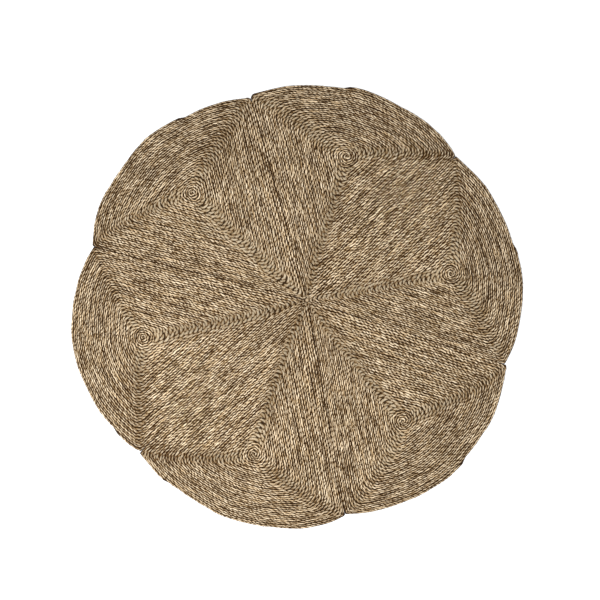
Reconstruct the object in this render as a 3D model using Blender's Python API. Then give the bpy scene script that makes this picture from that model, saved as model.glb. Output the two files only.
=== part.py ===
"""Round rug of six coiled petals of twisted seagrass rope, lying flat.

Each petal is one length of rope, coiled from a round eye into a wedge with a
curved rim, and sewn flat. The petals meet along straight seams at a hub that
lies a little off the middle of the rug. The rope rows stand up from the top
face as one spiral per petal; the underside is flat.

Units are metres, +Z is up and the rug rests on z = 0.
"""

import collections
import math

import bmesh
import bpy
from mathutils import Matrix, Vector

MM = 0.001
FULL_TURN = 2.0 * math.pi

# Rope and seams.
CROWN_HEIGHT = 7.0 * MM
GROOVE_HEIGHT = 4.6 * MM
SEAM_GAP = 0.3 * MM

# Corner radii of the coil: the eye is round, the turns outside it fold more sharply.
ROUND_TURNS = 5.0
FOLDED_TURNS = 12.0
ROUND_SHARE = 0.97
HUB_RADIUS = 1.0 * MM
RIM_BLEND_TURNS = 7.0

# Shares of a mitre's way from the eye to its tip where its bow is given.
NEAR_SHARE = 0.4
FAR_SHARE = 0.8
# Share of the rim over which a bowed corner eases back into the rim's arc.
EASE_SHARE = 0.4

# Stations round one turn.
HUB_STEPS = 3
CORNER_STEPS = 3
SIDE_STEPS = 2
RIM_STEPS = 7
STATION_CLEARANCE = 0.06
ROPE_END_TAPER = 0.06

# The first turn starts as a small disc.
FIRST_LEVEL = 0.5
CORNER_GROWTH = 1.0 / 3.0
WELD = 0.0001

# Directions in which the six seams leave the hub, in degrees from +X.
SEAMS = (-18.0, 44.0, 105.5, 166.0, 222.3, 280.0)

# Seen from the hub: centre and radius of the rim arc, and the place of the eye.
# start and end are the radii of the two rim corners, rope_end the place of the
# rope's end along the rim, wave the rise and fall of the hand-laid rim.
Petal = collections.namedtuple(
    "Petal",
    "name seam turns winding rim_out rim_deg rim_radius eye_out eye_deg "
    "start_radius end_radius rope_end wave wave_count wave_shift",
)
PETALS = (
    Petal("petal_right", 0, 35, 1, 107.3, 10.3, 609.0, 487.3, 10.5, 16.0, 30.0, 0.54, 1.0, 4, 0.48),
    Petal("petal_upper_right", 1, 35, 1, 75.0, 84.0, 645.7, 497.0, 74.8, 46.0, 30.0, 0.57, 3.0, 5, 0.03),
    Petal("petal_upper_left", 2, 36, -1, 179.7, 146.7, 578.7, 526.0, 136.8, 16.0, 34.0, 0.31, 2.5, 5, 0.04),
    Petal("petal_left", 3, 37, -1, 305.0, 195.3, 493.7, 562.3, 192.8, 20.0, 16.0, 0.86, 1.5, 4, 0.39),
    Petal("petal_lower_left", 4, 36, 1, 142.3, 251.0, 631.3, 545.0, 251.1, 18.0, 50.0, 0.18, 2.0, 5, 0.05),
    Petal("petal_lower_right", 5, 36, 1, 204.3, 307.1, 546.3, 514.7, 308.7, 16.0, 20.0, 0.55, 1.5, 5, 0.06),
)

# Mitres, where the rows turn: fold is the radius of the turns in millimetres, near
# and far how many millimetres the mitre bows to the left, seen from the eye.
Mitre = collections.namedtuple("Mitre", "petal corner fold near far")
MITRES = (
    Mitre("petal_right", "hub", 16.0, -1.0, 3.0),
    Mitre("petal_right", "start", 41.0, -2.0, -6.0),
    Mitre("petal_right", "end", 18.0, 2.0, 3.0),
    Mitre("petal_upper_right", "hub", 17.0, -2.0, -9.0),
    Mitre("petal_upper_right", "start", 22.0, -5.0, -4.0),
    Mitre("petal_upper_right", "end", 46.0, 5.0, -1.0),
    Mitre("petal_upper_left", "hub", 27.0, -8.0, -12.0),
    Mitre("petal_upper_left", "start", 36.0, -4.0, 1.0),
    Mitre("petal_upper_left", "end", 18.0, 4.0, -2.0),
    Mitre("petal_left", "hub", 20.0, -10.0, -11.0),
    Mitre("petal_left", "start", 21.0, -3.0, -6.0),
    Mitre("petal_left", "end", 26.0, 10.0, 6.0),
    Mitre("petal_lower_left", "hub", 15.0, 8.0, 9.0),
    Mitre("petal_lower_left", "start", 27.0, -3.0, 3.0),
    Mitre("petal_lower_left", "end", 46.0, 1.0, 4.0),
    Mitre("petal_lower_right", "hub", 14.0, 7.0, 9.0),
    Mitre("petal_lower_right", "start", 39.0, 2.0, 4.0),
    Mitre("petal_lower_right", "end", 31.0, 3.0, -6.0),
)

# Finish of each petal: linear base colour and roughness.
Finish = collections.namedtuple("Finish", "name red green blue roughness")
FINISHES = (
    Finish("Seagrass right", 0.30, 0.21, 0.13, 0.84),
    Finish("Seagrass upper right", 0.29, 0.21, 0.13, 0.85),
    Finish("Seagrass upper left", 0.31, 0.22, 0.13, 0.84),
    Finish("Seagrass left", 0.33, 0.24, 0.14, 0.83),
    Finish("Seagrass lower left", 0.32, 0.23, 0.14, 0.84),
    Finish("Seagrass lower right", 0.31, 0.22, 0.13, 0.85),
)

# One place on a turn: its side of the coil, how far along it, and the growth by then.
Station = collections.namedtuple("Station", "part along growth")


def polar(distance, degrees):
    """Point at a distance and direction from the hub."""
    angle = math.radians(degrees)
    return Vector((distance * math.cos(angle), distance * math.sin(angle)))


def direction(angle):
    """Unit vector at an angle in radians."""
    return Vector((math.cos(angle), math.sin(angle)))


def mix(first, second, share):
    """Value part of the way from first to second."""
    return first + (second - first) * min(max(share, 0.0), 1.0)


class Coil:
    """The nested turns of one petal, from its eye to its outline."""

    def __init__(self, petal):
        self.petal = petal
        start = math.radians(SEAMS[petal.seam])
        end = math.radians(SEAMS[(petal.seam + 1) % len(SEAMS)])
        if end < start:
            end += FULL_TURN
        self.start_normal = start - FULL_TURN / 4.0
        self.end_normal = end + FULL_TURN / 4.0
        self.eye = polar(petal.eye_out * MM, petal.eye_deg)
        self.centre = polar(petal.rim_out * MM, petal.rim_deg)
        self.rim_radius = petal.rim_radius * MM
        # Distances from the eye to the two seam sides and to the rim.
        half_gap = SEAM_GAP / 2.0
        self.to_start = -direction(self.start_normal).dot(self.eye) - half_gap
        self.to_end = -direction(self.end_normal).dot(self.eye) - half_gap
        self.to_rim = self.rim_radius - (self.eye - self.centre).length
        late = petal.turns - CORNER_GROWTH
        self.start_levels = petal.turns if petal.winding > 0 else late
        self.end_levels = late if petal.winding > 0 else petal.turns
        self.rim_levels = petal.turns - CORNER_GROWTH / 2.0
        self.mitres = {mitre.corner: mitre for mitre in MITRES if mitre.petal == petal.name}
        self.tips = {
            "hub": Vector((0.0, 0.0)),
            "start": self.seam_tip(direction(start)),
            "end": self.seam_tip(direction(end)),
        }

    def seam_tip(self, along):
        """Place where a seam that leaves the hub in a direction meets the rim's arc."""
        halfway = along.dot(self.centre)
        beyond = halfway * halfway - self.centre.length_squared + self.rim_radius * self.rim_radius
        return along * (halfway + math.sqrt(beyond))

    def bow(self, corner, level):
        """Sideways shift of a corner from the straight line between eye and tip."""
        mitre = self.mitres[corner]
        share = min(level / self.petal.turns, 1.0)
        if share < NEAR_SHARE:
            shift = mitre.near * share / NEAR_SHARE
        elif share < FAR_SHARE:
            shift = mix(mitre.near, mitre.far, (share - NEAR_SHARE) / (FAR_SHARE - NEAR_SHARE))
        else:
            shift = mitre.far * (1.0 - share) / (1.0 - FAR_SHARE)
        way = (self.tips[corner] - self.eye).normalized()
        return Vector((-way.y, way.x)) * shift * MM

    def reach(self, level):
        """Distances of the start side, end side and rim from the eye at a level."""
        start = self.to_start * min(level / self.start_levels, 1.0)
        end = self.to_end * min(level / self.end_levels, 1.0)
        rim = self.to_rim * level / self.rim_levels
        return start, end, rim

    def corner_radius(self, level, corner, outermost):
        """Radius of a corner at a level, ending at its outermost radius."""
        widest = ROUND_SHARE * min(self.reach(level))
        if level <= ROUND_TURNS:
            return widest
        round_radius = ROUND_SHARE * min(self.reach(ROUND_TURNS))
        folding = (level - ROUND_TURNS) / (FOLDED_TURNS - ROUND_TURNS)
        folded = mix(round_radius, self.mitres[corner].fold * MM, folding)
        closing = (level - self.petal.turns + RIM_BLEND_TURNS) / RIM_BLEND_TURNS
        return min(mix(folded, outermost, closing), widest)

    def hub_corner(self, level):
        """Centre and radius of the corner that points at the hub."""
        start, end, _ = self.reach(level)
        radius = self.corner_radius(level, "hub", HUB_RADIUS)
        first = direction(self.start_normal)
        second = direction(self.end_normal)
        cross = first.x * second.y - first.y * second.x
        from_start = start - radius
        from_end = end - radius
        offset = Vector((
            (from_start * second.y - from_end * first.y) / cross,
            (from_end * first.x - from_start * second.x) / cross,
        ))
        return self.eye + offset + self.bow("hub", level), radius

    def rim_corner(self, level, at_start):
        """Centre and radius of a corner between a seam side and the rim."""
        start, end, rim = self.reach(level)
        corner = "start" if at_start else "end"
        outermost = (self.petal.start_radius if at_start else self.petal.end_radius) * MM
        radius = self.corner_radius(level, corner, outermost)
        normal = direction(self.start_normal if at_start else self.end_normal)
        line = self.eye.dot(normal) + (start if at_start else end) - radius
        arc = self.rim_radius - self.to_rim + rim - radius
        height = line - self.centre.dot(normal)
        along = Vector((-normal.y, normal.x)) * (1.0 if at_start else -1.0)
        place = self.centre + normal * height + along * math.sqrt(arc * arc - height * height)
        return place + self.bow(corner, level), radius

    def rim_angles(self, level):
        """Directions, from the rim's centre, in which the rim begins and ends."""
        first = self.rim_corner(level, True)[0] - self.centre
        second = self.rim_corner(level, False)[0] - self.centre
        start = math.atan2(first.y, first.x)
        end = math.atan2(second.y, second.x)
        while end < start:
            end += FULL_TURN
        return start, end

    def rim_point(self, level, along):
        """Point on the rim side, which waves a little toward the outline."""
        _, _, rim = self.reach(level)
        start, end = self.rim_angles(level)
        petal = self.petal
        swell = math.sin(FULL_TURN * (petal.wave_count * along / 2.0 + petal.wave_shift))
        swell *= math.sin(math.pi * along) * petal.wave * MM * (level / petal.turns) ** 4
        arc = self.rim_radius - self.to_rim + rim
        drift = 0.0
        for at_start, passed in ((True, along), (False, 1.0 - along)):
            centre, radius = self.rim_corner(level, at_start)
            ease = max(1.0 - passed / EASE_SHARE, 0.0)
            drift += ((centre - self.centre).length + radius - arc) * ease * ease
        return self.centre + direction(mix(start, end, along)) * (arc + drift + swell)

    def corner_point(self, part, level, along):
        """Point on one of the three rounded corners."""
        if part == "hub":
            centre, radius = self.hub_corner(level)
            angle = mix(self.end_normal, self.start_normal + FULL_TURN, along)
            return centre + direction(angle) * radius
        start, end = self.rim_angles(level)
        if part == "start":
            centre, radius = self.rim_corner(level, True)
            turn = (start - self.start_normal + math.pi) % FULL_TURN - math.pi
            return centre + direction(self.start_normal + turn * along) * radius
        centre, radius = self.rim_corner(level, False)
        turn = (self.end_normal - end + math.pi) % FULL_TURN - math.pi
        return centre + direction(end + turn * along) * radius

    def point(self, station, level):
        """Point of the turn at a level, at one of its stations."""
        level = max(level, FIRST_LEVEL)
        if station.part == "rim":
            return self.rim_point(level, station.along)
        if station.part == "start_side":
            first = self.corner_point("hub", level, 1.0)
            return first.lerp(self.corner_point("start", level, 0.0), station.along)
        if station.part == "end_side":
            first = self.corner_point("end", level, 1.0)
            return first.lerp(self.corner_point("hub", level, 0.0), station.along)
        return self.corner_point(station.part, level, station.along)


def rim_places(petal):
    """Places along the rim, with two close together where the rope ends."""
    before = petal.rope_end - ROPE_END_TAPER * petal.winding
    ends = [before, petal.rope_end]
    even = [step / RIM_STEPS for step in range(1, RIM_STEPS)]
    places = [place for place in even if all(abs(place - end) > STATION_CLEARANCE for end in ends)]
    return sorted(places + ends)


def turn_stations(petal):
    """Stations of one turn in the order in which the rope passes them."""
    corners = ["start", "end"] if petal.winding > 0 else ["end", "start"]
    sides = ["start_side", "end_side"] if petal.winding > 0 else ["end_side", "start_side"]
    runs = [
        (sides[0], [step / SIDE_STEPS for step in range(1, SIDE_STEPS)], 0),
        (corners[0], [step / CORNER_STEPS for step in range(CORNER_STEPS + 1)], 0),
        ("rim", rim_places(petal), 1),
        (corners[1], [step / CORNER_STEPS for step in range(CORNER_STEPS + 1)], 1),
        (sides[1], [step / SIDE_STEPS for step in range(1, SIDE_STEPS)], 2),
        ("hub", [step / HUB_STEPS for step in range(HUB_STEPS + 1)], 2),
    ]
    stations = []
    for part, places, grown in runs:
        for place in places:
            share = place if part in ("start", "end", "hub") else 0.0
            stations.append(Station(part, place, (grown + share) * CORNER_GROWTH))
    if petal.winding > 0:
        return stations
    backward = []
    for part, places, _ in runs:
        members = [station for station in stations if station.part == part]
        grown = [station.growth for station in members]
        members.reverse()
        backward += [Station(part, member.along, growth) for member, growth in zip(members, grown)]
    return backward


def coil_heights(bm, petal):
    """Lay a grid of turns and stations out as the coiled rope's top face."""
    coil = Coil(petal)
    stations = turn_stations(petal)
    stations.append(stations[0])
    columns = len(stations)
    rows = 2 * (petal.turns + 1) + 1
    bmesh.ops.create_grid(bm, x_segments=columns - 1, y_segments=rows - 1, size=1.0)
    last = [index for index, station in enumerate(stations)
            if station.part == "rim" and station.along == petal.rope_end][0]
    beyond = []
    for vert in bm.verts:
        column = round((vert.co.x + 1.0) / 2.0 * (columns - 1))
        row = round((vert.co.y + 1.0) / 2.0 * (rows - 1))
        station = stations[column]
        turn = (row - 1) // 2
        growth = station.growth + (1.0 if column == columns - 1 else 0.0)
        outer = coil.point(station, turn + growth)
        inner = coil.point(station, turn - 1 + growth) if turn > 0 else coil.eye
        if turn > petal.turns - 1 and column >= last:
            outer = inner
            if column > last:
                beyond.append(vert)
        if row == 0:
            flat = coil.eye
            height = GROOVE_HEIGHT
        elif row % 2 == 1:
            flat = (outer + inner) / 2.0
            height = CROWN_HEIGHT if outer != inner else GROOVE_HEIGHT
        else:
            flat = outer
            height = GROOVE_HEIGHT
        vert.co = Vector((flat.x, flat.y, height))
    return beyond


def build_petal(petal, finish):
    """One petal: spiral top face, upright edge and flat underside."""
    bm = bmesh.new()
    beyond = coil_heights(bm, petal)
    bmesh.ops.delete(bm, geom=beyond, context="VERTS")
    bmesh.ops.remove_doubles(bm, verts=list(bm.verts), dist=WELD)
    outline = [edge for edge in bm.edges if len(edge.link_faces) == 1]
    lower = bmesh.ops.extrude_edge_only(bm, edges=outline)["geom"]
    for element in lower:
        if isinstance(element, bmesh.types.BMVert):
            element.co.z = 0.0
    floor = [element for element in lower if isinstance(element, bmesh.types.BMEdge)]
    bmesh.ops.contextual_create(bm, geom=floor)
    bmesh.ops.triangulate(bm, faces=list(bm.faces))
    bmesh.ops.recalc_face_normals(bm, faces=list(bm.faces))
    mesh = bpy.data.meshes.new(petal.name)
    bm.to_mesh(mesh)
    bm.free()
    mesh.materials.append(seagrass_material(finish))
    thing = bpy.data.objects.new(petal.name, mesh)
    bpy.context.scene.collection.objects.link(thing)
    return thing


def seagrass_material(finish):
    """Matt dried-grass finish of one petal."""
    material = bpy.data.materials.new(finish.name)
    material.use_nodes = True
    shader = material.node_tree.nodes["Principled BSDF"]
    shader.inputs["Base Color"].default_value = (finish.red, finish.green, finish.blue, 1.0)
    shader.inputs["Roughness"].default_value = finish.roughness
    return material


def centre_on_origin(things):
    """Move the meshes so that the middle of the rug's box stands over the origin."""
    points = [vert.co for thing in things for vert in thing.data.vertices]
    east = (max(point.x for point in points) + min(point.x for point in points)) / 2.0
    north = (max(point.y for point in points) + min(point.y for point in points)) / 2.0
    for thing in things:
        thing.data.transform(Matrix.Translation((-east, -north, 0.0)))


def main():
    """Clear the scene and build the six petals."""
    for thing in list(bpy.data.objects):
        bpy.data.objects.remove(thing, do_unlink=True)
    petals = [build_petal(petal, finish) for petal, finish in zip(PETALS, FINISHES)]
    centre_on_origin(petals)


main()
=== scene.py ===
"""Looks of a round rug of six coiled petals of twisted seagrass rope.

Each petal is one length of two-ply rope, laid as a spiral from a round eye
out to the petal's seams and rim. The rope is modelled as rope: both plies
show as lumps that wind round each other along every row, on the top and on
the underside. The petals lie flat on a pale floor and are seen from above.

Units are metres, +Z is up, and the middle of the rug is over the origin.
"""

import logging
import math
from dataclasses import dataclass, field, replace
from enum import Enum

import bmesh
import bpy
import numpy as np
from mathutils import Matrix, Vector


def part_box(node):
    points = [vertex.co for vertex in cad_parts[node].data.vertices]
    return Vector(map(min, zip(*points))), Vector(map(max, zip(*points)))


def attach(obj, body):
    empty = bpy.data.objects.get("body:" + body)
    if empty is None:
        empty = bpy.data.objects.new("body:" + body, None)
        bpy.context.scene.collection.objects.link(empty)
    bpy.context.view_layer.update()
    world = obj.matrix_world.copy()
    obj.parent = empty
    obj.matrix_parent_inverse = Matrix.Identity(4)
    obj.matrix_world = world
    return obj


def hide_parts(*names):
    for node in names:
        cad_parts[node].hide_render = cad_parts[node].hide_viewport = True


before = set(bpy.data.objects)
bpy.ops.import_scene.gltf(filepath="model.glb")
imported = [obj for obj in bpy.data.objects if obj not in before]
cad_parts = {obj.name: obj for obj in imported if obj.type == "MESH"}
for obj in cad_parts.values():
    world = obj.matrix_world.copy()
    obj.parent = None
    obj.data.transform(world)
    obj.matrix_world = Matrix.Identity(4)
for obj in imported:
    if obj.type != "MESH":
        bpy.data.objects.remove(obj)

LOG = logging.getLogger("rug")

MM = 0.001
FULL_TURN = 2.0 * math.pi
# Directions in which the six seams leave the hub, in degrees from +X.
SEAMS = (-18.0, 44.0, 105.5, 166.0, 222.3, 280.0)
# How dark the painted shade beside each of those seams is, from 0 to 1.
SEAM_SHADES = (0.05, 0.03, 0.14, 0.22, 0.06, 0.22)
# Growth of the coil at each of a turn's three corners, in turns.
CORNER_GROWTH = 1.0 / 3.0
# Distance under which two points of a mesh are one.
SAME_PLACE = 1e-7


class Winding(Enum):
    """Way in which a petal's rope goes round as the coil grows, seen from above."""

    LEFTWARD = 1
    RIGHTWARD = -1


class Stretch(Enum):
    """Stretches that one turn of a petal's coil is made of."""

    START_SIDE = "side along the seam where the petal starts"
    START_CORNER = "corner between that side and the rim"
    RIM = "rim"
    END_CORNER = "corner between the rim and the other seam"
    END_SIDE = "side along the seam where the petal ends"
    HUB_CORNER = "corner that points at the hub"


HUB, START, END = Stretch.HUB_CORNER, Stretch.START_CORNER, Stretch.END_CORNER
CORNERS = (START, END, HUB)
SEWN = (Stretch.START_SIDE, Stretch.END_SIDE, HUB)


@dataclass(frozen=True)
class PetalPlan:
    """Plan of one petal, seen from the hub, in millimetres and degrees.

    Attributes:
        node: Name of the petal's solid.
        seam: Number of the seam at which the petal starts.
        turns: Turns of the coil.
        winding: Way in which the rope goes round.
        rim_out: Distance from the hub to the centre of the rim's arc.
        rim_deg: Direction of that centre.
        rim_radius: Radius of the rim's arc.
        eye_out: Distance from the hub to the eye.
        eye_deg: Direction of the eye.
        start_radius: Radius of the rim's corner at the seam where the petal starts.
        start_drop: How far the rim draws in at that seam.
        end_radius: Radius of the rim's corner at the other seam.
        end_drop: How far the rim draws in at the other seam.
        rope_end: Share of the rim at which the rope ends.
        wave: Height of the rim's waves.
        wave_count: Number of half waves along the rim.
        wave_shift: Shift of the waves, in whole waves.
    """

    node: str
    seam: int
    turns: int
    winding: Winding
    rim_out: float
    rim_deg: float
    rim_radius: float
    eye_out: float
    eye_deg: float
    start_radius: float
    start_drop: float
    end_radius: float
    end_drop: float
    rope_end: float
    wave: float
    wave_count: int
    wave_shift: float


@dataclass(frozen=True)
class Mitre:
    """One mitre of a petal, along which its rows turn.

    Attributes:
        node: Node of the petal.
        corner: Corner that the mitre runs to.
        fold: Radius of the turns, in millimetres.
        near: How far the mitre bows to the left near the eye, in millimetres.
        far: How far it bows to the left near its tip, in millimetres.
        shade: How dark the painted shade of the rows along it is, from 0 to 1.
    """

    node: str
    corner: Stretch
    fold: float
    near: float
    far: float
    shade: float


LEFT, RIGHT = Winding.LEFTWARD, Winding.RIGHTWARD
PLANS = (
    PetalPlan(
        "petal_right", seam=0, turns=35, winding=LEFT,
        rim_out=107.3, rim_deg=10.3, rim_radius=609.0, eye_out=487.3, eye_deg=10.5,
        start_radius=6.0, start_drop=12.0, end_radius=6.0, end_drop=2.0,
        rope_end=0.54, wave=1.0, wave_count=4, wave_shift=0.48,
    ),
    PetalPlan(
        "petal_upper_right", seam=1, turns=35, winding=LEFT,
        rim_out=75.0, rim_deg=84.0, rim_radius=645.7, eye_out=497.0, eye_deg=74.8,
        start_radius=6.0, start_drop=14.0, end_radius=24.0, end_drop=2.0,
        rope_end=0.57, wave=3.0, wave_count=5, wave_shift=0.03,
    ),
    PetalPlan(
        "petal_upper_left", seam=2, turns=36, winding=RIGHT,
        rim_out=179.7, rim_deg=146.7, rim_radius=578.7, eye_out=526.0, eye_deg=136.8,
        start_radius=10.0, start_drop=0.0, end_radius=10.0, end_drop=9.0,
        rope_end=0.31, wave=2.5, wave_count=5, wave_shift=0.04,
    ),
    PetalPlan(
        "petal_left", seam=3, turns=37, winding=RIGHT,
        rim_out=305.0, rim_deg=195.3, rim_radius=493.7, eye_out=562.3, eye_deg=192.8,
        start_radius=6.0, start_drop=0.0, end_radius=6.0, end_drop=0.0,
        rope_end=0.86, wave=1.5, wave_count=4, wave_shift=0.39,
    ),
    PetalPlan(
        "petal_lower_left", seam=4, turns=36, winding=LEFT,
        rim_out=142.3, rim_deg=251.0, rim_radius=631.3, eye_out=545.0, eye_deg=251.1,
        start_radius=8.0, start_drop=0.0, end_radius=12.0, end_drop=22.0,
        rope_end=0.18, wave=2.0, wave_count=5, wave_shift=0.05,
    ),
    PetalPlan(
        "petal_lower_right", seam=5, turns=36, winding=LEFT,
        rim_out=204.3, rim_deg=307.1, rim_radius=546.3, eye_out=514.7, eye_deg=308.7,
        start_radius=5.0, start_drop=0.0, end_radius=8.0, end_drop=0.0,
        rope_end=0.55, wave=1.5, wave_count=5, wave_shift=0.06,
    ),
)

MITRES = (
    Mitre("petal_right", HUB, 16.0, -1.0, 3.0, 0.37),
    Mitre("petal_right", START, 41.0, -2.0, -6.0, 0.19),
    Mitre("petal_right", END, 18.0, 2.0, 3.0, 0.30),
    Mitre("petal_upper_right", HUB, 17.0, -2.0, -9.0, 0.46),
    Mitre("petal_upper_right", START, 22.0, -5.0, -4.0, 0.35),
    Mitre("petal_upper_right", END, 46.0, 5.0, -1.0, 0.28),
    Mitre("petal_upper_left", HUB, 27.0, -8.0, -12.0, 0.26),
    Mitre("petal_upper_left", START, 36.0, -4.0, 1.0, 0.40),
    Mitre("petal_upper_left", END, 18.0, 4.0, -2.0, 0.37),
    Mitre("petal_left", HUB, 20.0, -10.0, -11.0, 0.43),
    Mitre("petal_left", START, 21.0, -3.0, -6.0, 0.26),
    Mitre("petal_left", END, 26.0, 10.0, 6.0, 0.53),
    Mitre("petal_lower_left", HUB, 15.0, 8.0, 9.0, 0.49),
    Mitre("petal_lower_left", START, 27.0, -3.0, 3.0, 0.55),
    Mitre("petal_lower_left", END, 46.0, 1.0, 4.0, 0.40),
    Mitre("petal_lower_right", HUB, 14.0, 7.0, 9.0, 0.40),
    Mitre("petal_lower_right", START, 39.0, 2.0, 4.0, 0.12),
    Mitre("petal_lower_right", END, 31.0, 3.0, -6.0, 0.32),
)


def polar(distance: float, degrees: float) -> np.ndarray:
    """Return the point at a distance and direction from the hub."""
    angle = math.radians(degrees)
    return distance * np.array([math.cos(angle), math.sin(angle)])


def direction(angle: np.ndarray | float) -> np.ndarray:
    """Return unit vectors at angles in radians."""
    return np.stack([np.cos(angle), np.sin(angle)], axis=-1)


def mix(first: np.ndarray | float, second: np.ndarray | float, share: np.ndarray | float) -> np.ndarray:
    """Return values part of the way from first to second."""
    return first + (second - first) * np.clip(share, 0.0, 1.0)


def cross(first: np.ndarray, second: np.ndarray) -> np.ndarray:
    """Return the cross products of vectors on the floor plan."""
    return first[..., 0] * second[..., 1] - first[..., 1] * second[..., 0]


def left_of(way: np.ndarray) -> np.ndarray:
    """Return vectors turned a quarter turn to the left."""
    return np.stack([-way[..., 1], way[..., 0]], axis=-1)


def headings(points: np.ndarray) -> np.ndarray:
    """Return the unit vectors in which a line of points runs on."""
    ahead = np.gradient(points, axis=0)
    return ahead / np.linalg.norm(ahead, axis=1)[:, None]


def smoothed(values: np.ndarray, passes: int) -> np.ndarray:
    """Return values along a line, evened out with their neighbours.

    Args:
        values: The values.
        passes: How many times they are evened out.

    Returns:
        The evened values.
    """
    values = values.copy()
    for _ in range(passes):
        values[1:-1] = (values[:-2] + 2.0 * values[1:-1] + values[2:]) / 4.0
    return values


def area_of(outline: np.ndarray) -> float:
    """Return the area inside a closed outline."""
    return abs(float(cross(outline, np.roll(outline, -1, axis=0)).sum())) / 2.0


@dataclass
class Coil:
    """Nested turns of one petal, worked out for many levels at once.

    A level counts turns out from the eye to the outer edge of a row.

    Attributes:
        plan: The petal's plan.
        round_turns: Turns that go round the eye in circles.
        folded_turns: Turns after which the corners are as sharp as the mitres say.
        rim_blend_turns: Last turns, over which corners take the outline's radius.
        near_share: Share of the turns at which a mitre has its near bow.
        far_share: Share of the turns at which a mitre has its far bow.
        ease_share: Share of the rim over which its arc eases into a corner.
        notch_share: Share of the rim that a notch of the outline takes.
        drop_power: How fast the notches die out inward.
        wave_power: How fast the rim's waves die out inward.
        stray_rates: Rates of a slow and a quick stray, in radians a turn.
        quick_stray: Size of the quick stray over the slow one.
    """

    plan: PetalPlan
    seam_gap: float = 0.3 * MM
    round_turns: float = 5.0
    folded_turns: float = 12.0
    round_share: float = 0.97
    hub_radius: float = 0.3 * MM
    rim_blend_turns: float = 7.0
    first_level: float = 0.5
    near_share: float = 0.4
    far_share: float = 0.8
    ease_share: float = 0.4
    notch_share: float = 0.22
    drop_power: int = 6
    wave_power: int = 4
    mitre_stray: float = 1.3 * MM
    stray_rates: tuple[float, float] = (2.4, 4.1)
    quick_stray: float = 0.7

    def __post_init__(self) -> None:
        """Work out the directions and distances that every turn shares."""
        plan = self.plan
        start = math.radians(SEAMS[plan.seam])
        end = math.radians(SEAMS[(plan.seam + 1) % len(SEAMS)])
        end += FULL_TURN if end < start else 0.0
        self.start_normal = start - FULL_TURN / 4.0
        self.end_normal = end + FULL_TURN / 4.0
        self.eye = polar(plan.eye_out * MM, plan.eye_deg)
        self.centre = polar(plan.rim_out * MM, plan.rim_deg)
        self.rim_radius = plan.rim_radius * MM
        self.to_start = -direction(self.start_normal) @ self.eye - self.seam_gap / 2.0
        self.to_end = -direction(self.end_normal) @ self.eye - self.seam_gap / 2.0
        self.to_rim = self.rim_radius - float(np.linalg.norm(self.eye - self.centre))
        late = plan.turns - CORNER_GROWTH
        leftward = plan.winding is Winding.LEFTWARD
        self.start_levels = plan.turns if leftward else late
        self.end_levels = late if leftward else plan.turns
        self.rim_levels = plan.turns - CORNER_GROWTH / 2.0
        self.mitres = {mitre.corner: mitre for mitre in MITRES if mitre.node == plan.node}
        self.tips = {HUB: np.zeros(2), START: self.seam_tip(start), END: self.seam_tip(end)}

    def seam_tip(self, angle: float) -> np.ndarray:
        """Return where a seam that leaves the hub at an angle meets the rim's arc."""
        along = direction(angle)
        halfway = along @ self.centre
        beyond = halfway * halfway - self.centre @ self.centre + self.rim_radius * self.rim_radius
        return along * (halfway + math.sqrt(beyond))

    def bow(self, corner: Stretch, level: np.ndarray) -> np.ndarray:
        """Return how far a corner lies aside of the straight line from eye to tip.

        Args:
            corner: Which corner.
            level: Levels of the turns.

        Returns:
            One sideways step for each level.
        """
        mitre = self.mitres[corner]
        share = level / self.plan.turns
        places = (0.0, self.near_share, self.far_share, 1.0)
        shift = np.interp(share, places, (0.0, mitre.near, mitre.far, 0.0)) * MM
        slow, quick = self.stray_rates
        start = self.plan.seam + mitre.fold
        stray = np.sin(slow * level + start) + self.quick_stray * np.sin(quick * level - start)
        shift = shift + self.mitre_stray * stray * np.clip(4.0 * share * (1.0 - share), 0.0, 1.0)
        way = self.tips[corner] - self.eye
        return shift[..., None] * left_of(way) / np.linalg.norm(way)

    def reach(self, level: np.ndarray) -> tuple[np.ndarray, np.ndarray, np.ndarray]:
        """Return how far the start side, end side and rim are from the eye.

        Args:
            level: Levels of the turns.

        Returns:
            The three distances at each level, in metres.
        """
        start = self.to_start * np.minimum(level / self.start_levels, 1.0)
        end = self.to_end * np.minimum(level / self.end_levels, 1.0)
        return start, end, self.to_rim * level / self.rim_levels

    def corner_radius(self, level: np.ndarray, corner: Stretch, outermost: float) -> np.ndarray:
        """Return a corner's radius, round at the eye and sharper further out.

        Args:
            level: Levels of the turns.
            corner: Which corner.
            outermost: Radius of the outermost turn's corner, in metres.

        Returns:
            The radius at each level, in metres.
        """
        widest = self.round_share * np.minimum.reduce(self.reach(level))
        eye_radius = self.round_share * min(self.reach(np.array(self.round_turns)))
        folding = (level - self.round_turns) / (self.folded_turns - self.round_turns)
        folded = mix(eye_radius, self.mitres[corner].fold * MM, folding)
        closing = (level - self.plan.turns + self.rim_blend_turns) / self.rim_blend_turns
        folded = np.minimum(mix(folded, outermost, closing), widest)
        return np.where(level <= self.round_turns, widest, folded)

    def hub_corner(self, level: np.ndarray) -> tuple[np.ndarray, np.ndarray]:
        """Return centres and radii of the corner that points at the hub.

        Args:
            level: Levels of the turns.

        Returns:
            The corner's centre and radius at each level.
        """
        start, end, _ = self.reach(level)
        radius = self.corner_radius(level, HUB, self.hub_radius)
        first, second = direction(self.start_normal), direction(self.end_normal)
        from_start, from_end = (start - radius)[:, None], (end - radius)[:, None]
        offset = from_end * left_of(first) - from_start * left_of(second)
        return self.eye + offset / cross(first, second) + self.bow(HUB, level), radius

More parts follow.
